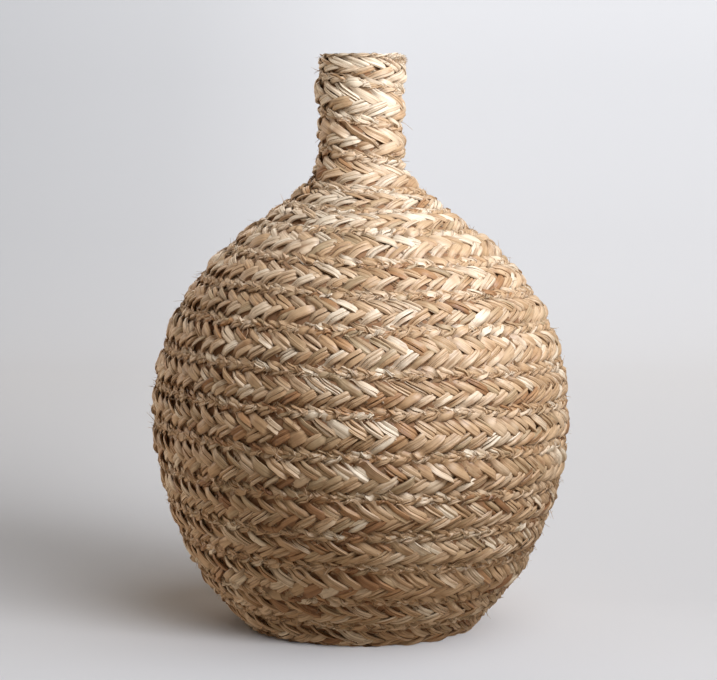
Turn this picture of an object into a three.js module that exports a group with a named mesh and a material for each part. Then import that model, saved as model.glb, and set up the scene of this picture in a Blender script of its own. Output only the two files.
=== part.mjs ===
// A bottle-shaped earthenware jar, wholly covered with one flat rush plait that is wound round it in a
// spiral from the floor to the mouth. Millimetres, +Z up, floor at z = 0, front towards -Y.

import * as THREE from "three";

// Driving dimensions of the fired jar
const FOOT_RADIUS = 96;
const BELLY_RADIUS = 189.5;
const BELLY_HEIGHT = 210.5;
const SHOULDER_ARC_RADIUS = 196.5;
const SHOULDER_ANGLE = THREE.MathUtils.degToRad(51.5);
const NECK_RADIUS = 31;
const NECK_ROOT_FILLET = 50;
const JAR_HEIGHT = 542;
const WALL = 8;
const BASE_THICKNESS = 12;
const HEEL_CHAMFER = 2;

// Driving dimensions of the plait
const PLAIT_PITCH = 35.6;
const PLAIT_GAP = 0.9;
const PLAIT_CROWN = 9.5;
const PLAIT_EDGE = 5;
const PLAIT_TAIL = 6;
const PLAIT_CLEARANCE = 0.35;
const PLAIT_OVER_LIP = 5;
const FLOOR_CLEARANCE = 0.6;
const MOUTH_TAIL_AZIMUTH = THREE.MathUtils.degToRad(95);

// Fineness of the curved surfaces
const JAR_FACETS = 48;
const ARC_DIVISIONS = 5;
const STEPS_PER_TURN = 24;

// Tangent arcs of the jar's side, worked out from the dimensions above
const footInset = BELLY_RADIUS - FOOT_RADIUS;
const lowerArcRadius = (footInset ** 2 + BELLY_HEIGHT ** 2) / (2 * footInset);
const coneStart = new THREE.Vector2(
  BELLY_RADIUS - SHOULDER_ARC_RADIUS * (1 - Math.cos(SHOULDER_ANGLE)),
  BELLY_HEIGHT + SHOULDER_ARC_RADIUS * Math.sin(SHOULDER_ANGLE),
);
const neckCornerHeight = coneStart.y + (coneStart.x - NECK_RADIUS) / Math.tan(SHOULDER_ANGLE);
const neckRootCentre = new THREE.Vector2(
  NECK_RADIUS + NECK_ROOT_FILLET,
  neckCornerHeight + NECK_ROOT_FILLET * Math.tan(SHOULDER_ANGLE / 2),
);

// The jar's side in the (radius, height) plane from a low height to a high one, moved inward by inset
function sidePath(inset, lowHeight, highHeight) {
  const path = new THREE.Path();
  const lowRadius = lowerArcRadius - inset;
  const lowAngle = -Math.asin((BELLY_HEIGHT - lowHeight) / lowRadius);
  path.absarc(BELLY_RADIUS - lowerArcRadius, BELLY_HEIGHT, lowRadius, lowAngle, 0, false);
  const highRadius = SHOULDER_ARC_RADIUS - inset;
  path.absarc(BELLY_RADIUS - SHOULDER_ARC_RADIUS, BELLY_HEIGHT, highRadius, 0, SHOULDER_ANGLE, false);
  const rootRadius = NECK_ROOT_FILLET + inset;
  path.absarc(neckRootCentre.x, neckRootCentre.y, rootRadius, Math.PI + SHOULDER_ANGLE, Math.PI, true);
  path.lineTo(NECK_RADIUS - inset, highHeight);
  return path;
}

// One fired piece: flat foot, round belly, sloping shoulder, straight neck and half-round lip
function earthenwareJar() {
  const lipRadius = WALL / 2;
  const lipHeight = JAR_HEIGHT - lipRadius;
  const outside = sidePath(0, HEEL_CHAMFER, lipHeight);
  outside.absarc(NECK_RADIUS - lipRadius, lipHeight, lipRadius, 0, Math.PI, false);
  const inside = sidePath(WALL, BASE_THICKNESS, lipHeight);
  const profile = [
    new THREE.Vector2(0, 0),
    new THREE.Vector2(FOOT_RADIUS - HEEL_CHAMFER, 0),
    ...outside.getPoints(ARC_DIVISIONS),
    ...inside.getPoints(ARC_DIVISIONS).reverse().slice(1),
    new THREE.Vector2(0, BASE_THICKNESS),
  ];
  const geometry = new THREE.LatheGeometry(profile, JAR_FACETS);
  geometry.rotateX(Math.PI / 2);
  return geometry;
}

// The plait's sections, each six points, from the thin tail at the floor to the thin tail at the mouth.
// Its flat back is a chord of the jar's round side, so the seat adds the height of that arc.
function plaitSections() {
  const heelSlope = BELLY_HEIGHT / lowerArcRadius;
  const lowHeight = FLOOR_CLEARANCE + PLAIT_EDGE * heelSlope;
  const seat = PLAIT_CLEARANCE + PLAIT_PITCH ** 2 / (8 * Math.min(SHOULDER_ARC_RADIUS, lowerArcRadius));
  const path = sidePath(-seat, lowHeight, JAR_HEIGHT + PLAIT_OVER_LIP);
  const reach = path.getLength();
  const width = PLAIT_PITCH - PLAIT_GAP;
  const turns = (reach - 2 * PLAIT_TAIL + width) / PLAIT_PITCH;
  const steps = Math.floor(turns * STEPS_PER_TURN);
  const facetStretch = 1 / Math.cos(Math.PI / STEPS_PER_TURN);
  const sections = [];
  for (let step = 0; step <= steps; step += 1) {
    const turn = step / STEPS_PER_TURN;
    const azimuth = MOUTH_TAIL_AZIMUTH + ((steps - step) / STEPS_PER_TURN) * 2 * Math.PI;
    const top = Math.min(reach, PLAIT_TAIL + turn * PLAIT_PITCH);
    const bottom = Math.max(0, PLAIT_TAIL + turn * PLAIT_PITCH - width);
    const crown = PLAIT_EDGE + ((PLAIT_CROWN - PLAIT_EDGE) * (top - bottom)) / width;
    const quarter = (top - bottom) / 4;
    const outline = [
      [bottom, 0],
      [top, 0],
      [top, PLAIT_EDGE],
      [top - quarter, crown],
      [bottom + quarter, crown],
      [bottom, PLAIT_EDGE],
    ];
    sections.push(
      outline.map(([along, height]) => {
        const foot = path.getPoint(along / reach);
        const tangent = path.getTangent(along / reach);
        const radius = (foot.x + tangent.y * height) * facetStretch;
        const level = foot.y - tangent.x * height;
        return new THREE.Vector3(radius * Math.cos(azimuth), radius * Math.sin(azimuth), level);
      }),
    );
  }
  return sections;
}

// The least distance between points of turns that lie against each other
function leastGap(sections) {
  let least = Infinity;
  for (let step = STEPS_PER_TURN; step < sections.length; step += 1) {
    for (const upper of sections[step]) {
      for (const lower of sections[step - STEPS_PER_TURN]) {
        least = Math.min(least, upper.distanceTo(lower));
      }
    }
  }
  return least;
}

// One unbroken strip through all the sections, closed by a cap at each tail
function stripGeometry(sections) {
  const sides = sections[0].length;
  const positions = sections.flat().flatMap((point) => point.toArray());
  const indices = [];
  for (let step = 0; step + 1 < sections.length; step += 1) {
    for (let side = 0; side < sides; side += 1) {
      const here = step * sides + side;
      const beside = step * sides + ((side + 1) % sides);
      indices.push(here, here + sides, beside, beside, here + sides, beside + sides);
    }
  }
  const last = (sections.length - 1) * sides;
  for (let side = 1; side + 1 < sides; side += 1) {
    indices.push(0, side, side + 1, last, last + side + 1, last + side);
  }
  const geometry = new THREE.BufferGeometry();
  geometry.setAttribute("position", new THREE.Float32BufferAttribute(positions, 3));
  geometry.setIndex(indices);
  geometry.computeVertexNormals();
  return geometry;
}

function namedMesh(name, geometry, colour, roughness) {
  const material = new THREE.MeshStandardMaterial({ color: colour, roughness, metalness: 0 });
  const mesh = new THREE.Mesh(geometry, material);
  mesh.name = name;
  return mesh;
}

const sections = plaitSections();
console.log(`least gap between turns of the plait: ${leastGap(sections).toFixed(2)} mm`);

const jar = new THREE.Group();
jar.add(namedMesh("earthenware_jar", earthenwareJar(), 0xa8643f, 0.9));
jar.add(namedMesh("plait_winding", stripGeometry(sections), 0xc9ad80, 0.85));

export default jar;
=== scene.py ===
"""A bottle-shaped earthenware jar under one wide rush plait, wound round it from the mouth to the floor.

Metres, +Z up, floor at z = 0, front towards -Y.
"""

import math

import bpy
import numpy as np
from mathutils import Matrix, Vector


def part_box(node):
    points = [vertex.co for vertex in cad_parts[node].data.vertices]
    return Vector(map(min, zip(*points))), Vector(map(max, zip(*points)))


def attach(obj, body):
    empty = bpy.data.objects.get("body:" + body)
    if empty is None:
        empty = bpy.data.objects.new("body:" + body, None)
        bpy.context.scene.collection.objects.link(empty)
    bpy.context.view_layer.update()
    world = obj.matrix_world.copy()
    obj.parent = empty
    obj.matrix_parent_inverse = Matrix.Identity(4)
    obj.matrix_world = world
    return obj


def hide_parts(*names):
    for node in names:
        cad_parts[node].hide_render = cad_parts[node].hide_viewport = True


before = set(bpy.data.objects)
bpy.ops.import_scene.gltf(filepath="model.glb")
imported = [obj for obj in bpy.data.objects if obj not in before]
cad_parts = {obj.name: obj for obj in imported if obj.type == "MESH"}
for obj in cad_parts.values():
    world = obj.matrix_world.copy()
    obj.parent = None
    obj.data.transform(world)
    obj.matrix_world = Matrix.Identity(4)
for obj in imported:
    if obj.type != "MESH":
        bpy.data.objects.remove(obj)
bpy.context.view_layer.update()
rng = np.random.default_rng(11)

# The clay's side, as tangent arcs
FOOT_RADIUS = 0.096
BELLY_RADIUS = 0.1895
BELLY_HEIGHT = 0.2105
SHOULDER_ARC = 0.1965
SHOULDER_ANGLE = math.radians(51.5)
NECK_RADIUS = 0.031
NECK_ROOT_FILLET = 0.05
JAR_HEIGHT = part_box("earthenware_jar")[1][2]

# The plait: seven strands, each passing over two and under two, and over one at the edges
STRAND_SPACING = 0.0145
STRAND_WIDTH = 0.008
STRAND_THICKNESS = 0.0042
PLAIT_WIDTH = 0.0356
PLAIT_CROWN = 0.0033
CROSSING = STRAND_SPACING / 2

# Heights of a strand's middle line above the clay
LEVEL_UNDER = 0.0027
LEVEL_OVER = 0.0067
LEVEL_EDGE = 0.0058
LEVEL_DIVE = 0.0031

# The plait's ends: it narrows out at the floor and at the lip, and is folded in over the lip
LEAST_WIDTH = 0.006
NARROW_SHARE = 0.6
WIDEST_SHARE = 1.1
FLOOR_EDGE = 0.0055
FLOOR_PRESS = 0.0006
FOLD_HEIGHT = JAR_HEIGHT + 0.0002
FOLD_ROUNDING = 0.0038
FOLDED_IN = 0.010
MOUTH_FLARE = 0.0015
FLARE_END = 0.4

# Widths of the turns down the front in millimetres, from the mouth.
# The first of them starts at the height of the first seam.
FIRST_SEAM = 0.5236
TURN_WIDTHS = (36, 34, 42, 29, 29, 42, 35, 34, 39, 34, 37, 38, 36, 33, 40, 32)
WANDER = 0.0012
WANDER_RATES = (3.3, 0.71)

# The azimuth of the front
FRONT = math.radians(-90)

# How tightly the strands are packed, by turn, and what packing takes from the weave's relief
TIGHT_TURNS = (3, 4, 6, 7.5, 10.5, 13.5)
TIGHTNESS = (0.1, 0.75, 0.75, 0.2, 0.2, 1)
TIGHT_RELIEF = 0.35

# Fineness
RINGS = 24
SIDE_STEPS = 4000
TURN_STEPS = 6000


def running_sum(values, step):
    """The integral of evenly spaced values, starting at zero."""
    middles = (values[1:] + values[:-1]) / 2
    return np.concatenate([[0], np.cumsum(middles) * step])


def smooth_step(value):
    value = np.clip(value, 0, 1)
    return value * value * (3 - 2 * value)


def swell(value, middle, reach):
    """A bell curve of height one."""
    return np.exp(-((value - middle) / reach) ** 2)


def unit(vectors):
    return vectors / np.linalg.norm(vectors, axis=1, keepdims=True)


def clay_side():
    """The clay's side from the floor up: distance, radius, height and lean of its outward normal.

    The neck goes on past the lip by the part of the plait that is folded in over it.
    """
    foot_inset = BELLY_RADIUS - FOOT_RADIUS
    lower_arc = (foot_inset ** 2 + BELLY_HEIGHT ** 2) / (2 * foot_inset)
    low_lean = math.asin(BELLY_HEIGHT / lower_arc)
    cone_radius = BELLY_RADIUS - SHOULDER_ARC * (1 - math.cos(SHOULDER_ANGLE))
    cone_height = BELLY_HEIGHT + SHOULDER_ARC * math.sin(SHOULDER_ANGLE)
    corner_height = cone_height + (cone_radius - NECK_RADIUS) / math.tan(SHOULDER_ANGLE)
    cut = NECK_ROOT_FILLET * math.tan(SHOULDER_ANGLE / 2)
    stretches = [
        lower_arc * low_lean,
        SHOULDER_ARC * SHOULDER_ANGLE,
        (cone_radius - NECK_RADIUS) / math.sin(SHOULDER_ANGLE) - cut,
        NECK_ROOT_FILLET * SHOULDER_ANGLE,
        JAR_HEIGHT + FOLDED_IN - corner_height - cut,
    ]
    marks = np.concatenate([[0], np.cumsum(stretches)])
    leans = [-low_lean, 0, SHOULDER_ANGLE, SHOULDER_ANGLE, 0, 0]
    distance = np.linspace(0, marks[-1], SIDE_STEPS)
    lean = np.interp(distance, marks, leans)
    step = distance[1]
    radius = FOOT_RADIUS - running_sum(np.sin(lean), step)
    height = running_sum(np.cos(lean), step)
    return distance, radius, height, lean


SIDE, SIDE_RADIUS, SIDE_HEIGHT, SIDE_LEAN = clay_side()
REACH = SIDE[-1]


def seam_table():
    """Turn numbers and, for each, the distance along the side of the seam below that turn."""
    first = REACH - (JAR_HEIGHT + FOLDED_IN - FIRST_SEAM)
    seams = first - np.concatenate([[0], np.cumsum(TURN_WIDTHS)]) / 1000
    above = seams[0] + PLAIT_WIDTH * np.array([2, 1])
    below = seams[-1] - PLAIT_WIDTH * np.array([1, 2])
    return np.arange(-2, len(seams) + 2), np.concatenate([above, seams, below])


SEAM_TURN, SEAM = seam_table()


def seam(turn):
    """The seam below a turn, wandering a little up and down, as a distance along the side."""
    waves = [np.sin(2 * math.pi * rate * turn) for rate in WANDER_RATES]
    wander = WANDER * waves[0] * waves[1]
    return np.clip(np.interp(turn, SEAM_TURN, SEAM) + wander, FLOOR_EDGE, REACH)


def strip_edges(turn):
    """The plait's upper and lower edges; the plait narrows to nothing at the lip and at the floor."""
    return seam(turn - 1), seam(turn)


def run_table():
    """Turn numbers against the run along the plait's middle."""
    turn = np.linspace(-1, len(TURN_WIDTHS) + 2, TURN_STEPS)
    upper, lower = strip_edges(turn)
    radius = np.interp((upper + lower) / 2, SIDE, SIDE_RADIUS)
    return turn, running_sum(2 * math.pi * radius, turn[1] - turn[0])


RUN_TURN, RUN = run_table()


def turn_at(run):
    return np.interp(run, RUN, RUN_TURN)


def along_side(run, across):
    """Turn number and distance along the clay's side of a place in the plait."""
    turn = turn_at(run)
    upper, lower = strip_edges(turn)
    return turn, (upper + lower) / 2 + across * (upper - lower) / PLAIT_WIDTH


def place(run, across, lift):
    """Points of the scene from places in the plait: run, distance from its middle and lift off the clay.

    Above the fold the plait turns in over the lip, and at the floor it is pressed flat.
    """
    turn, along = along_side(run, across)
    lean = np.interp(along, SIDE, SIDE_LEAN)
    radius = np.interp(along, SIDE, SIDE_RADIUS) + lift * np.cos(lean)
    height = np.interp(along, SIDE, SIDE_HEIGHT) + lift * np.sin(lean)
    past_fold = np.where(lean == 0, height - FOLD_HEIGHT - lift, -1)
    folded = (past_fold + np.hypot(past_fold, FOLD_ROUNDING)) / 2
    radius = radius - folded
    height = np.maximum(height - folded, FLOOR_PRESS)
    azimuth = FRONT + 2 * math.pi * turn
    return np.stack([radius * np.cos(azimuth), radius * np.sin(azimuth), height], axis=-1)


def plait_width(run):
    upper, lower = strip_edges(turn_at(run))
    return upper - lower


def width_share(run):
    """The strands' size as a share of their full size: less where the plait narrows at its ends."""
    share = NARROW_SHARE + (1 - NARROW_SHARE) * plait_width(run) / PLAIT_WIDTH
    return np.minimum(WIDEST_SHARE, share)


def tightness(run):
    """How tightly the strands are packed, from 0 to 1: most in the lowest turns and on the shoulder."""
    return np.interp(turn_at(run), TIGHT_TURNS, TIGHTNESS)


def crown(share):
    """The rise of the plait's face, highest in its middle, at a share of its half width."""
    return PLAIT_CROWN * (1 - share ** 2)


# One pass of a strand: over one at the edge it comes to, round that edge, under one, over two, under again
PASS_LEVELS = np.array([
    LEVEL_UNDER,
    LEVEL_UNDER,
    LEVEL_OVER,
    LEVEL_EDGE,
    LEVEL_DIVE,
    LEVEL_OVER,
    LEVEL_OVER,
    LEVEL_UNDER,
    LEVEL_UNDER,
])
FIRST_CROSSING = -3
PASS_START = -2.4
PASS_END = 4.4

# Where a pass lies across the plait, by crossings: it comes to its edge at a low angle and dives steeply
PASS_PLACES = np.array([
    (-3.5, 0),
    (-1.5, 0.83),
    (-0.7, 0.93),
    (0, 0.97),
    (0.5, 0.87),
    (1.5, 0.48),
    (3.5, 0),
    (5.5, -0.83),
])
BEND_EASE = np.linspace(-0.3, 0.3, 5)


def pass_middle(run, edge, crossing):
    """The middle line and levels of a pass that turns at an edge (1 upper, -1 lower), by crossings."""
    nearby = crossing[:, None] + BEND_EASE[None, :]
    share = edge * np.interp(nearby, PASS_PLACES[:, 0], PASS_PLACES[:, 1]).mean(axis=1)
    index = np.floor(crossing).astype(int)
    part = smooth_step(crossing - index)
    index = index - FIRST_CROSSING
    level = PASS_LEVELS[index] * (1 - part) + PASS_LEVELS[index + 1] * part
    level = LEVEL_OVER - (LEVEL_OVER - level) * (1 - TIGHT_RELIEF * tightness(run))
    flare = MOUTH_FLARE * (1 - smooth_step(turn_at(run) - FLARE_END))
    lift = (level + crown(share)) * width_share(run) + flare
    return np.stack([run + crossing * CROSSING, share * PLAIT_WIDTH / 2, lift], axis=-1), level


# The half turn that a strand makes about its own line while it goes round an edge, and its chance twist
ROLL_START = -0.7
ROLL_LENGTH = 1.4
TWIST_SPREAD = 0.16
TWIST_RATE_SPREAD = 0.08


def pass_frame(run, edge, crossing):
    """The middle line of a pass with its levels and its width and thickness directions."""
    middle, level = pass_middle(run, edge, crossing)
    tangent = unit(np.gradient(middle, axis=0))
    side = unit(np.stack([-tangent[:, 1], tangent[:, 0], np.zeros(len(crossing))], axis=-1))
    up = np.cross(tangent, side)
    roll = math.pi * smooth_step((crossing - ROLL_START) / ROLL_LENGTH)
    roll = (roll + rng.normal(0, TWIST_SPREAD) + rng.normal(0, TWIST_RATE_SPREAD) * crossing)[:, None]
    wide = np.cos(roll) * side - edge * np.sin(roll) * up
    thick = np.cos(roll) * up + edge * np.sin(roll) * side
    return middle, level, wide, thick


# Shares of the strand's width along a pass: full on top, less below, less before the edge, more in the dive
WIDTH_BELOW = 0.8
WIDTH_ON_TOP = 0.28
EDGE_NARROWING = 0.26
EDGE_NARROWING_PACKED = 0.24
EDGE_NARROWING_PLACE = -0.6
EDGE_NARROWING_REACH = 0.8
DIVE_WIDENING = 0.04
DIVE_WIDENING_PACKED = 0.22
DIVE_WIDENING_PLACE = 1.1
DIVE_WIDENING_REACH = 0.7


def strand_width(run, level, crossing):
    """The width of a strand along a pass, as a share of its usual width."""
    packed = tightness(run)
    width = WIDTH_BELOW + WIDTH_ON_TOP * (level - LEVEL_UNDER) / (LEVEL_OVER - LEVEL_UNDER)
    narrowing = EDGE_NARROWING - EDGE_NARROWING_PACKED * packed ** 3
    width = width * (1 - narrowing * swell(crossing, EDGE_NARROWING_PLACE, EDGE_NARROWING_REACH))
    widening = DIVE_WIDENING + DIVE_WIDENING_PACKED * packed
    return width + widening * swell(crossing, DIVE_WIDENING_PLACE, DIVE_WIDENING_REACH)


# How strands differ from each other
RUN_SPREAD = 0.001
STRAND_WIDTHS = (0.9, 1.08)
STRAND_RAISED = 0.0006

# The leaf blades of a strand: their number, how they lie side by side, and how they differ
BLADE_COUNTS = (1, 2, 3)
BLADE_COUNT_SHARES = (0.15, 0.6, 0.25)
BLADE_LAP = math.radians(6)
BLADE_HALF_WIDTH = 0.63
BLADE_WIDTHS = (0.85, 1.1)
BLADE_THICKNESSES = (0.8, 1.1)
SINGLE_BLADE_EXTRA = 0.4
BLADE_TILT = 0.1
BLADE_RAISED = 0.0002
BLADE_FOLDS = (0.7, 1.15)

# A blade's waves along its length, and its fullness where it goes round the edge
PHASES = 6
SWAY = 0.0004
SWAY_RATES = (0.5, 1.3)
WIDTH_WAVE = 0.1
WIDTH_WAVE_RATE = 1.4
EDGE_THICKENING = 0.6
EDGE_THICKENING_REACH = 0.6

# A blade's flattened section, in half widths and half thicknesses
SECTION = np.array([
    (-1, 0),
    (-0.68, 0.72),
    (0, 1),
    (0.68, 0.72),
    (1, 0),
    (0.68, -0.72),
    (0, -1),
    (-0.68, -0.72),
])


def section_rings(line, flat, proud, section, half_width, half_thick):
    """Rings of a section along a line, with its own half width and half thickness at each place."""
    across = flat[:, None, :] * (section[None, :, :1] * half_width[:, None, None])
    through = proud[:, None, :] * (section[None, :, 1:] * half_thick[:, None, None])
    return line[:, None, :] + across + through


def pass_blades(run, edge):
    """The blades of one pass, side by side, each as rings of points in the scene."""
    if plait_width(run) < LEAST_WIDTH:
        return []
    squeeze = width_share(run)
    crossing = np.linspace(PASS_START, PASS_END, RINGS)
    middle, level, wide, thick = pass_frame(run + rng.normal(0, RUN_SPREAD), edge, crossing)
    spread = STRAND_WIDTH * squeeze * rng.uniform(*STRAND_WIDTHS) * strand_width(run, level, crossing)
    raised = rng.normal(0, STRAND_RAISED)
    count = int(rng.choice(BLADE_COUNTS, p=BLADE_COUNT_SHARES))
    lap = rng.choice([-1, 1]) * BLADE_LAP * (count > 1)
    usual_thick = STRAND_THICKNESS / 2 * squeeze * (1 - SINGLE_BLADE_EXTRA + SINGLE_BLADE_EXTRA / count)
    blades = []
    for number in range(count):
        sway = SWAY * np.sin(crossing * rng.uniform(*SWAY_RATES) + rng.uniform(0, PHASES))
        offset = ((number + 0.5) / count - 0.5) * spread + sway
        half_width = spread * BLADE_HALF_WIDTH / count * rng.uniform(*BLADE_WIDTHS)
        wave = np.sin(crossing * WIDTH_WAVE_RATE + rng.uniform(0, PHASES))
        half_width = half_width * (1 + WIDTH_WAVE * wave)
        half_thick = usual_thick * rng.uniform(*BLADE_THICKNESSES)
        half_thick = half_thick * (1 + EDGE_THICKENING * swell(crossing, 0, EDGE_THICKENING_REACH))
        tilt = lap + rng.normal(0, BLADE_TILT)
        flat = math.cos(tilt) * wide + math.sin(tilt) * thick
        proud = math.cos(tilt) * thick - math.sin(tilt) * wide
        section = SECTION * rng.uniform(*BLADE_FOLDS, (len(SECTION), 1))
        line = middle + wide * offset[:, None] + thick * (raised + rng.normal(0, BLADE_RAISED))
        rings = section_rings(line, flat, proud, section, half_width, half_thick)
        blades.append(place(rings[..., 0], rings[..., 1], rings[..., 2]))
    return blades


def tube_faces(rings, sides):
    """Quads and their corner places (around, along) of one closed tube with an even number of sides."""
    quads = []
    corners = []
    for ring in range(rings - 1):
        low = ring / (rings - 1)
        high = (ring + 1) / (rings - 1)
        here = ring * sides
        there = (ring + 1) * sides
        for side in range(sides):
            beside = (side + 1) % sides
            quads.append((here + side, there + side, there + beside, here + beside))
            left = side / sides
            right = (side + 1) / sides
            corners.append(((left, low), (left, high), (right, high), (right, low)))
    last = (rings - 1) * sides
    for step in range(1, sides - 2, 2):
        loop = (0, step, step + 1, step + 2)
        quads.append(loop)
        corners.append(tuple((corner / sides, 0) for corner in loop))
        quads.append(tuple(last + corner for corner in reversed(loop)))
        corners.append(tuple((corner / sides, 1) for corner in reversed(loop)))
    return np.array(quads), np.array(corners)


# The unwrapped layout of a piece: tubes in columns, each inside a margin
BAKE_COLUMNS = 8
MARGIN_ALONG = 0.04
MARGIN_AROUND = 0.06
SEED_RANGE = 50
SHARP_FOLD = math.radians(38)


def bake_layout(corners, count):
    """Corner places of all the tubes of a piece, laid out flat with no overlap."""
    rows = math.ceil(count / BAKE_COLUMNS)
    number = np.arange(count)[:, None, None]
    along = MARGIN_ALONG + (1 - 2 * MARGIN_ALONG) * corners[None, ..., 1]
    around = MARGIN_AROUND + (1 - 2 * MARGIN_AROUND) * corners[None, ..., 0]
    flat_x = (number % BAKE_COLUMNS + along) / BAKE_COLUMNS
    flat_y = (number // BAKE_COLUMNS + around) / rows
    return np.stack([flat_x, flat_y], axis=-1)


def tubes_piece(name, tubes, tints, material):
    """One piece of many closed tubes, each with a place in the flat layout, a tint and a seed."""
    count, rings, sides = tubes.shape[:3]
    quads, corners = tube_faces(rings, sides)
    size = rings * sides
    faces = (quads[None] + size * np.arange(count)[:, None, None]).reshape(-1, 4)
    mesh = bpy.data.meshes.new(name)
    mesh.from_pydata(tubes.reshape(-1, 3), [], faces, shade_flat=False)
    blade_places = np.tile(corners, (count, 1, 1))
    mesh.uv_layers.new(name="blade").uv.foreach_set("vector", blade_places.ravel())
    mesh.uv_layers.new(name="OFBake").uv.foreach_set("vector", bake_layout(corners, count).ravel())
    seeds = rng.random(count) * SEED_RANGE
    for attribute, values in (("tint", tints), ("seed", seeds)):
        made = mesh.attributes.new(attribute, "FLOAT", "POINT")
        made.data.foreach_set("value", np.repeat(values, size))
    mesh.set_sharp_from_angle(angle=SHARP_FOLD)
    mesh.materials.append(material)
    link_plait_piece(name, mesh)


def link_plait_piece(name, mesh):
    """Puts a piece of the plait into the scene, in the place of the plain strip."""
    piece = bpy.data.objects.new(name, mesh)
    bpy.context.scene.collection.objects.link(piece)
    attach(piece, "root")
    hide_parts("plait_winding")


# The leaves are palest at the rim and pale on the neck and the shoulder, partly their own tone and partly
# painted light on the top of the jar: turns and the tint's middle value
PALE_AND_LIT_TURNS = (0.7, 1.5, 5.5, 8)
PALE_AND_LIT_TINTS = (-0.12, 0.27, 0.28, 0.43)
STRAND_TINT_SPREAD = 0.22
BLADE_TINT_SPREAD = 0.1


def wind_plait(material):
    """All the passes of the plait, in one piece for each turn."""
    turns = {}
    for step in range(int(RUN[-1] / STRAND_SPACING)):
        for edge, shift in ((1, 0.0), (-1, 0.5)):
            run = (step + shift) * STRAND_SPACING
            blades = pass_blades(run, edge)
            turn = turn_at(run)
            # Paler on the upper turns: partly the leaves' own tone, partly painted light
            tint = rng.normal(np.interp(turn, PALE_AND_LIT_TURNS, PALE_AND_LIT_TINTS), STRAND_TINT_SPREAD)
            for blade in blades:
                blade_tint = np.clip(tint + rng.normal(0, BLADE_TINT_SPREAD), 0, 1)
                turns.setdefault(math.floor(turn), []).append((blade, blade_tint))
    for number, made in enumerate(turns.values(), 1):
        blades, tints = zip(*made)
        tubes_piece(f"plait_turn_{number:02d}", np.stack(blades), np.array(tints), material)


# The core: how it is divided, and its lift off the clay in the middle, at the seams and where it is packed
CORE_STEP = 0.004
CORE_POINTS = 9
CORE_FOOT = 0.0004
CORE_LIFT = 0.0038
CORE_LIFT_PACKED = 0.0009
CORE_SEAM_DROP = 0.35


def plait_core(material):
    """The bulk of leaves inside the plait, seen only in the gaps between its strands, where its darker
    colour is painted shade.
    """
    ends = [run for run in np.arange(0, RUN[-1], CORE_STEP) if plait_width(run) > LEAST_WIDTH]
    run = np.array(ends)[:, None]
    share = np.linspace(-1, 1, CORE_POINTS)[None, :]
    bulk = (CORE_LIFT + CORE_LIFT_PACKED * tightness(run)) * (1 - CORE_SEAM_DROP * share ** 6)
    lift = CORE_FOOT + (bulk + crown(share)) * width_share(run)
    points = place(run + 0 * share, share * PLAIT_WIDTH / 2 + 0 * run, lift)
    here = np.arange(len(ends) - 1)[:, None] * CORE_POINTS + np.arange(CORE_POINTS - 1)[None, :]
    here = here.ravel()
    faces = np.stack([here, here + 1, here + 1 + CORE_POINTS, here + CORE_POINTS], axis=-1)
    mesh = bpy.data.meshes.new("plait_core")
    mesh.from_pydata(points.reshape(-1, 3), [], faces, shade_flat=False)
    mesh.materials.append(material)
    link_plait_piece("plait_core", mesh)


# Loose fibres: their number and fineness, and what all of them share
FIBRE_COUNT = 3200
RIM_FIBRES = 800
FIBRE_RINGS = 7
FIBRE_SIDES = 4
FIBRE_CURL = 0.9
FIBRE_START = 0.001
FIBRE_RISE_POWER = 1.4
FIBRE_THICKNESS = (0.00022, 0.00045)
FIBRE_TAPER = 0.75
DARKEST_FIBRE = 0.7
FARTHEST_SHARE = 1.2
LIP_MARGIN = 0.001

# The fringe of the rim: turns, heights about the fold, lengths, headings about straight up, and rises
RIM_TURNS = (0.1, 1.6)
RIM_HEIGHTS = (-0.004, 0.002)
RIM_LENGTHS = (0.003, 0.007)
RIM_HEADING = 0.8
RIM_RISES = (0.3, 0.9)

# The frayed ends near the seams: distances from the edge, lengths, headings either way, and rises
SEAM_SPREAD = 0.3
SEAM_LENGTHS = (0.004, 0.013)
SEAM_HEADINGS = (-0.9, 0.9)
SEAM_RISES = (0.1, 0.85)


def rim_fibre():
    """A fibre near the fold at the rim: run, share of the plait's half width, length, heading and rise."""
    turn = rng.uniform(*RIM_TURNS)
    upper, lower = strip_edges(turn)
    along = REACH - JAR_HEIGHT - FOLDED_IN + FOLD_HEIGHT + rng.uniform(*RIM_HEIGHTS)
    run = np.interp(turn, RUN_TURN, RUN)
    share = 2 * (along - (upper + lower) / 2) / (upper - lower)
    length = rng.uniform(*RIM_LENGTHS)
    heading = math.pi / 2 + rng.normal(0, RIM_HEADING)
    return run, share, length, heading, rng.uniform(*RIM_RISES)


def seam_fibre():
    """A fibre anywhere on the plait, most often at an edge, given like those of the rim."""
    run = rng.uniform(0, RUN[-1])
    share = rng.choice([-1, 1]) * (1 - abs(rng.normal(0, SEAM_SPREAD)))
    length = rng.uniform(*SEAM_LENGTHS)
    heading = rng.uniform(*SEAM_HEADINGS) + rng.choice([0, math.pi])
    return run, share, length, heading, rng.uniform(*SEAM_RISES)


def fibre_rings(points, step):
    """Rings of a round, tapering fibre along a line of points."""
    tangent = unit(np.gradient(points, axis=0))
    side = unit(np.cross(tangent, points * (1, 1, 0)))
    up = np.cross(side, tangent)
    thickness = rng.uniform(*FIBRE_THICKNESS) * (1 - FIBRE_TAPER * step)
    turn = np.linspace(0, 2 * math.pi, FIBRE_SIDES + 1)[:-1]
    section = np.stack([-np.cos(turn), -np.sin(turn)], axis=-1)
    return section_rings(points, side, up, section, thickness, thickness)


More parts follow.
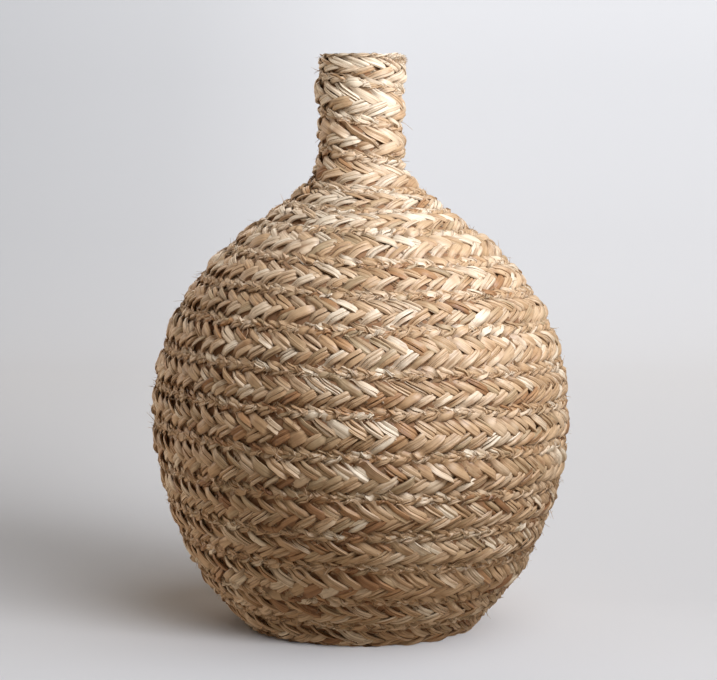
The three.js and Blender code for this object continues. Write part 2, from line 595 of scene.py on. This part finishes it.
def loose_fibres(material):
    """Frayed ends that stand out of the plait, at the rim and most of all at the seams between turns."""
    step = np.linspace(0, 1, FIBRE_RINGS)
    tubes = []
    while len(tubes) < FIBRE_COUNT:
        start = rim_fibre() if len(tubes) < RIM_FIBRES else seam_fibre()
        run, share, length, heading, rise = start
        angle = heading + rng.normal(0, FIBRE_CURL) * step
        start_lift = LEVEL_OVER + crown(share) + rng.uniform(-FIBRE_START, FIBRE_START)
        runs = run + length * running_sum(np.cos(angle), step[1])
        across = share * PLAIT_WIDTH / 2 + length * running_sum(np.sin(angle), step[1])
        points = place(runs, across, start_lift + length * rise * step ** FIBRE_RISE_POWER)
        past_lip = along_side(runs, across)[1].max() > REACH - LIP_MARGIN
        if abs(share) > FARTHEST_SHARE or past_lip or points[:, 2].min() < FLOOR_EDGE:
            continue
        tubes.append(fibre_rings(points, step))
    tints = DARKEST_FIBRE * rng.random(len(tubes))
    tubes_piece("loose_fibres", np.stack(tubes), tints, material)


def srgb(red, green, blue):
    """A colour of the screen, 0 to 255, as linear values with full alpha."""
    return tuple(((c / 255 + 0.055) / 1.055) ** 2.4 for c in (red, green, blue)) + (1,)


def grey(value):
    return (value, value, value, 1)


def node(tree, kind, **settings):
    made = tree.nodes.new(kind)
    for name, value in settings.items():
        setattr(made, name, value)
    return made


def feed(tree, socket, value):
    """Sets a socket to a constant, or links another node's output to it."""
    if isinstance(value, (int, float, tuple)):
        socket.default_value = value
    else:
        tree.links.new(value, socket)


def math_node(tree, operation, *values):
    made = node(tree, "ShaderNodeMath", operation=operation)
    for socket, value in zip(made.inputs, values):
        feed(tree, socket, value)
    return made.outputs[0]


def ramp(tree, factor, stops):
    made = node(tree, "ShaderNodeValToRGB")
    elements = made.color_ramp.elements
    while len(elements) < len(stops):
        elements.new(0.5)
    for element, (position, colour) in zip(elements, stops):
        element.position = position
        element.color = colour
    tree.links.new(factor, made.inputs[0])
    return made.outputs[0]


def grey_ramp(tree, factor, tones):
    return ramp(tree, factor, [(position, grey(tone)) for position, tone in tones])


def mixed(tree, blend, factor, first, second):
    made = node(tree, "ShaderNodeMix", data_type="RGBA", blend_type=blend)
    for name, value in (("Factor", factor), ("A", first), ("B", second)):
        socket = next(s for s in made.inputs if s.name == name and s.enabled)
        feed(tree, socket, value)
    return next(s for s in made.outputs if s.enabled)


def noise(tree, vector, scale, detail):
    made = node(tree, "ShaderNodeTexNoise")
    made.inputs["Scale"].default_value = scale
    made.inputs["Detail"].default_value = detail
    tree.links.new(vector, made.inputs["Vector"])
    return made.outputs[0]


def stretched_noise(tree, around, along, seed, around_scale, along_scale):
    """Noise drawn out along a blade, different on each."""
    joined = node(tree, "ShaderNodeCombineXYZ")
    tree.links.new(math_node(tree, "MULTIPLY", around, around_scale), joined.inputs[0])
    tree.links.new(math_node(tree, "MULTIPLY", along, along_scale), joined.inputs[1])
    tree.links.new(seed, joined.inputs[2])
    return noise(tree, joined.outputs[0], scale=1, detail=2)


def add_bump(tree, shader, height, strength, distance):
    bump = node(tree, "ShaderNodeBump")
    bump.inputs["Strength"].default_value = strength
    bump.inputs["Distance"].default_value = distance
    tree.links.new(height, bump.inputs["Height"])
    tree.links.new(bump.outputs[0], shader.inputs["Normal"])


def new_material(name):
    material = bpy.data.materials.new(name)
    material.use_nodes = True
    tree = material.node_tree
    return material, tree, tree.nodes["Principled BSDF"]


# Painted shade: the rush is darkened along a blade's two edges and wherever it goes down into the plait,
# where shade falls between and under the strands.
# The edges' tones are placed by shares of the way round, the others by shares of the length.
EDGE_TO_CROWN = 0.25
EDGE_SHADE_TONES = ((0.0, (0.5, 0.44, 0.38, 1)), (0.11, grey(1)))
DEEP_SHADE_TONE = (0.45, 0.4, 0.35, 1)
HALF_DEEP_SHADE_TONE = (0.75, 0.71, 0.67, 1)
# Painted shade at a loose fibre's root, where it comes out of the plait
FIBRE_ROOT_SHADE_TONES = ((0.0, DEEP_SHADE_TONE), (0.2, grey(1)))
# Painted shade along a pass: deep at its two ends under the other strands, half as deep in the dive past
# the edge
PASS_SHADE_TONES = (
    (0.08, DEEP_SHADE_TONE),
    (0.17, grey(1)),
    (0.4, grey(1)),
    (0.48, HALF_DEEP_SHADE_TONE),
    (0.52, HALF_DEEP_SHADE_TONE),
    (0.59, grey(1)),
    (0.83, grey(1)),
    (0.93, DEEP_SHADE_TONE),
)

# Colours of blades by tint, from bleached straw to brown
BLADE_COLOURS = (
    (0.0, srgb(235, 216, 189)),
    (0.2, srgb(221, 193, 160)),
    (0.4, srgb(207, 173, 135)),
    (0.55, srgb(195, 158, 118)),
    (0.68, srgb(190, 165, 130)),
    (0.8, srgb(187, 143, 100)),
    (0.92, srgb(172, 127, 87)),
    (1.0, srgb(156, 112, 74)),
)
BLOTCH_COLOUR = srgb(158, 116, 80)
# Crease tones: partly the leaves' own streaks and partly painted shade in the hollows of the crease relief
CREASE_STREAK_AND_SHADE_TONES = ((0.3, (0.5, 0.42, 0.35, 1)), (0.48, grey(1)), (1.0, grey(1)))
FINE_FIBRE_TONES = ((0.3, (0.7, 0.64, 0.58, 1)), (0.6, grey(1)))
BLOTCH_AMOUNTS = ((0.52, 0), (0.75, 0.65))
CREASE_STRENGTH = 0.8
FINE_FIBRE_STRENGTH = 0.55
FINE_FIBRE_RELIEF = 0.35
RUSH_ROUGHNESS = (0.56, 0.36)
RUSH_SPECULAR = 0.42
DULL_ROUGHNESS = 0.9


def rush_material(name, painted_shade_tones):
    """Dried rush: straw, tan and ochre blades with creases, fine fibres and brown blotches, with painted
    shade along the blades' edges, partly in the creases, and where the blades go down into the plait.
    """
    material, tree, shader = new_material(name)
    parts = node(tree, "ShaderNodeSeparateXYZ")
    tree.links.new(node(tree, "ShaderNodeUVMap", uv_map="blade").outputs[0], parts.inputs[0])
    around, along = parts.outputs[0], parts.outputs[1]
    tint = node(tree, "ShaderNodeAttribute", attribute_name="tint").outputs["Fac"]
    seed = node(tree, "ShaderNodeAttribute", attribute_name="seed").outputs["Fac"]
    creases = stretched_noise(tree, around, along, seed, around_scale=14, along_scale=2.2)
    fibres = stretched_noise(tree, around, along, seed, around_scale=60, along_scale=3)
    blotches = stretched_noise(tree, around, along, seed, around_scale=2, along_scale=4)
    colour = ramp(tree, tint, BLADE_COLOURS)
    # Darker in the creases: partly the leaves' own streaks, partly painted shade in their hollows
    colour = mixed(tree, "MULTIPLY", CREASE_STRENGTH, colour, ramp(tree, creases, CREASE_STREAK_AND_SHADE_TONES))
    colour = mixed(tree, "MULTIPLY", FINE_FIBRE_STRENGTH, colour, ramp(tree, fibres, FINE_FIBRE_TONES))
    colour = mixed(tree, "MIX", grey_ramp(tree, blotches, BLOTCH_AMOUNTS), colour, BLOTCH_COLOUR)
    # Painted shade along each blade's two edges
    from_edge = math_node(tree, "PINGPONG", around, EDGE_TO_CROWN)
    colour = mixed(tree, "MULTIPLY", 1.0, colour, ramp(tree, from_edge, EDGE_SHADE_TONES))
    # Painted shade by the length, where the blade goes down into the plait
    colour = mixed(tree, "MULTIPLY", 1.0, colour, ramp(tree, along, painted_shade_tones))
    tree.links.new(colour, shader.inputs["Base Color"])
    rough = node(tree, "ShaderNodeMapRange")
    tree.links.new(fibres, rough.inputs["Value"])
    rough.inputs["To Min"].default_value = RUSH_ROUGHNESS[0]
    rough.inputs["To Max"].default_value = RUSH_ROUGHNESS[1]
    tree.links.new(rough.outputs[0], shader.inputs["Roughness"])
    shader.inputs["Specular IOR Level"].default_value = RUSH_SPECULAR
    relief = math_node(tree, "ADD", creases, math_node(tree, "MULTIPLY", fibres, FINE_FIBRE_RELIEF))
    add_bump(tree, shader, relief, strength=0.6, distance=0.0008)
    return material


def shaded_core_material():
    """The same rush in the plait's depth, dull and darker: the darkness is painted shade."""
    material, tree, shader = new_material("rush_core_painted_shade")
    # Darker than the blades: painted shade in the gaps between the strands
    shader.inputs["Base Color"].default_value = srgb(138, 100, 68)
    shader.inputs["Roughness"].default_value = DULL_ROUGHNESS
    return material


def clay_material():
    """Matt fired clay with fine grain and pale mineral bloom."""
    material, tree, shader = new_material("terracotta")
    coordinates = node(tree, "ShaderNodeTexCoord").outputs["Object"]
    bloom = noise(tree, coordinates, scale=18, detail=5)
    grain = noise(tree, coordinates, scale=420, detail=2)
    colour = ramp(tree, bloom, (
        (0.3, srgb(104, 68, 48)),
        (0.55, srgb(132, 90, 66)),
        (0.75, srgb(156, 118, 92)),
    ))
    tree.links.new(colour, shader.inputs["Base Color"])
    shader.inputs["Roughness"].default_value = DULL_ROUGHNESS
    add_bump(tree, shader, grain, strength=0.35, distance=0.0005)
    return material


# The paper sweep: a level floor from the front to the bend, a quarter round, and a wall behind
SWEEP_FRONT = -6.0
SWEEP_BEND = 2.0
SWEEP_RADIUS = 2.0
SWEEP_TOP = 6.0
SWEEP_HALF_WIDTH = 6.0
SWEEP_STEPS = 24

# Painted light and shade on the paper, from front to back and from left to right: brightest in front of the
# jar, darker up the wall behind, and a band of painted shadow to the left of the jar.
# A tone's place is the distance in metres from the jar's axis, times a scale, plus a shift.
PAPER_SEEN = srgb(226, 228, 234)
PAPER_BOUNCE = srgb(186, 176, 163)
DEPTH_SCALE = 0.2
DEPTH_SHIFT = 0.2
PAPER_DEPTH_LIGHT_AND_SHADE = ((0.16, 1), (0.22, 0.88), (0.6, 0.86), (0.7, 0.75), (0.78, 0.67), (0.88, 0.61))
WIDTH_SCALE = 0.1
WIDTH_SHIFT = 0.5
PAPER_SIDE_SHADOW = ((0.15, 0.93), (0.38, 0.62), (0.455, 0.75), (0.5, 0.92), (0.62, 0.93))

# The room and its lamps
ROOM_SEEN = srgb(217, 218, 221)
ROOM_LIGHT = 0.05
COOL_LAMP = (0.84, 0.9, 1.0)
WARM_LAMP = (1.0, 0.9, 0.8)
WHITE_LAMP = (1.0, 1.0, 1.0)

# Lamps on the jar: colour, target, direction (azimuth from the front, elevation, distance), size and power
JAR_LAMPS = {
    "key": (COOL_LAMP, (0, 0, 0.42), (38, 29, 0.76), 0.45, 10.8),
    "fill": (WARM_LAMP, (0, 0, 0.28), (-104, 14, 3), 2, 37.5),
    "back_fill": (WARM_LAMP, (0, 0, 0.3), (-170, 30, 2.4), 1.6, 13),
}

# Lamps on the floor: direction, width in degrees and power
FLOOR_LAMPS = {
    "floor_low_light": ((43, 10, 4), 45, 7.2),
    "floor_high_light": ((60, 58, 4), 60, 1.25),
}


def paper_material():
    """Matt paper with painted light and shade from front to back and from side to side, and a warm bounce.
    """
    material, tree, shader = new_material("paper")
    spot = node(tree, "ShaderNodeSeparateXYZ")
    tree.links.new(node(tree, "ShaderNodeTexCoord").outputs["Object"], spot.inputs[0])
    depth = math_node(tree, "MULTIPLY_ADD", spot.outputs[1], DEPTH_SCALE, DEPTH_SHIFT)
    width = math_node(tree, "MULTIPLY_ADD", spot.outputs[0], WIDTH_SCALE, WIDTH_SHIFT)
    # Painted light in front of the jar and painted shade up the wall behind
    paper = mixed(tree, "MULTIPLY", 1.0, PAPER_SEEN, grey_ramp(tree, depth, PAPER_DEPTH_LIGHT_AND_SHADE))
    # A band of painted shadow to the left of the jar
    paper = mixed(tree, "MULTIPLY", 1.0, paper, grey_ramp(tree, width, PAPER_SIDE_SHADOW))
    seen = node(tree, "ShaderNodeLightPath").outputs["Is Camera Ray"]
    tree.links.new(mixed(tree, "MIX", seen, PAPER_BOUNCE, paper), shader.inputs["Base Color"])
    shader.inputs["Roughness"].default_value = DULL_ROUGHNESS
    return material


def floor_sweep():
    """A pale floor that sweeps up behind the jar."""
    profile = [(SWEEP_FRONT, 0.0), (SWEEP_BEND, 0.0)]
    for step in range(1, SWEEP_STEPS + 1):
        angle = math.pi / 2 * step / SWEEP_STEPS
        across = SWEEP_BEND + SWEEP_RADIUS * math.sin(angle)
        profile.append((across, SWEEP_RADIUS - SWEEP_RADIUS * math.cos(angle)))
    profile.append((SWEEP_BEND + SWEEP_RADIUS, SWEEP_TOP))
    points = [(x, y, z) for y, z in profile for x in (-SWEEP_HALF_WIDTH, SWEEP_HALF_WIDTH)]
    faces = [(2 * n, 2 * n + 1, 2 * n + 3, 2 * n + 2) for n in range(len(profile) - 1)]
    sweep = bpy.data.meshes.new("floor_sweep")
    sweep.from_pydata(points, [], faces, shade_flat=False)
    sweep.materials.append(paper_material())
    floor = bpy.data.objects.new("floor_sweep", sweep)
    bpy.context.scene.collection.objects.link(floor)
    return floor


def room():
    """A pale room around the sweep that gives only a little light."""
    world = bpy.data.worlds.new("studio")
    world.use_nodes = True
    tree = world.node_tree
    seen = node(tree, "ShaderNodeLightPath").outputs["Is Camera Ray"]
    light = tuple(ROOM_LIGHT * part for part in WARM_LAMP) + (1,)
    tree.links.new(mixed(tree, "MIX", seen, light, ROOM_SEEN), tree.nodes["Background"].inputs[0])
    bpy.context.scene.world = world


def studio():
    """The sweep and the room, soft lamps on the jar, and lamps of the floor's own."""
    floor = floor_sweep()
    room()
    jar = [thing for thing in bpy.context.scene.objects if thing.type == "MESH" and thing != floor]
    for name, (colour, target, direction, size, power) in JAR_LAMPS.items():
        area_light(name, colour, jar, target, direction, size, power)
    for name, (direction, width, power) in FLOOR_LAMPS.items():
        sun_light(name, [floor], direction, width, power)


def area_light(name, colour, lit, target, direction, size, power):
    """A round lamp, placed by azimuth from the front, elevation and distance."""
    light = bpy.data.lights.new(name, "AREA")
    light.shape = "DISK"
    light.size = size
    light.energy = power
    aim_lamp(light, colour, lit, target, direction)


def sun_light(name, lit, direction, width, power):
    """An even light from one side of the room, as wide as an angle in degrees."""
    light = bpy.data.lights.new(name, "SUN")
    light.angle = math.radians(width)
    light.energy = power
    aim_lamp(light, WHITE_LAMP, lit, (0, 0, 0), direction)


def aim_lamp(light, colour, lit, target, direction):
    """Hangs a lamp that shines at a target, on the named things only."""
    azimuth = math.radians(direction[0])
    elevation = math.radians(direction[1])
    level = math.cos(elevation)
    way = Vector((level * math.sin(azimuth), -level * math.cos(azimuth), math.sin(elevation)))
    light.color = colour
    lamp = bpy.data.objects.new(light.name, light)
    lamp.location = Vector(target) + way * direction[2]
    lamp.rotation_euler = way.to_track_quat("Z", "Y").to_euler()
    lit_things = bpy.data.collections.new(light.name + "_lit")
    for thing in lit:
        lit_things.objects.link(thing)
    lamp.light_linking.receiver_collection = lit_things
    lamp.visible_camera = False
    bpy.context.scene.collection.objects.link(lamp)


# The camera, placed from the photograph's perspective
CAMERA_DISTANCE = 2.152
CAMERA_HEIGHT = 0.499
CAMERA_PITCH = math.radians(5.92)
CAMERA_YAW = math.radians(0.06)
FOCAL_PIXELS = 2239
IMAGE_WIDTH = 717
SENSOR_WIDTH = 36


def photo_camera():
    data = bpy.data.cameras.new("camera")
    data.sensor_width = SENSOR_WIDTH
    data.lens = FOCAL_PIXELS / IMAGE_WIDTH * SENSOR_WIDTH
    camera = bpy.data.objects.new("camera", data)
    camera.location = (0, -CAMERA_DISTANCE, CAMERA_HEIGHT)
    camera.rotation_euler = (math.pi / 2 - CAMERA_PITCH, 0, CAMERA_YAW)
    bpy.context.scene.collection.objects.link(camera)
    bpy.context.scene.camera = camera
    bpy.context.scene.view_settings.view_transform = "Standard"


photo_camera()
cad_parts["earthenware_jar"].data.materials[0] = clay_material()
# The plait's rush, with painted shade where its passes go under the other strands
wind_plait(rush_material("rush", PASS_SHADE_TONES))
plait_core(shaded_core_material())
# The loose fibres, with painted shade at their roots
loose_fibres(rush_material("rush_fibre", FIBRE_ROOT_SHADE_TONES))
studio()
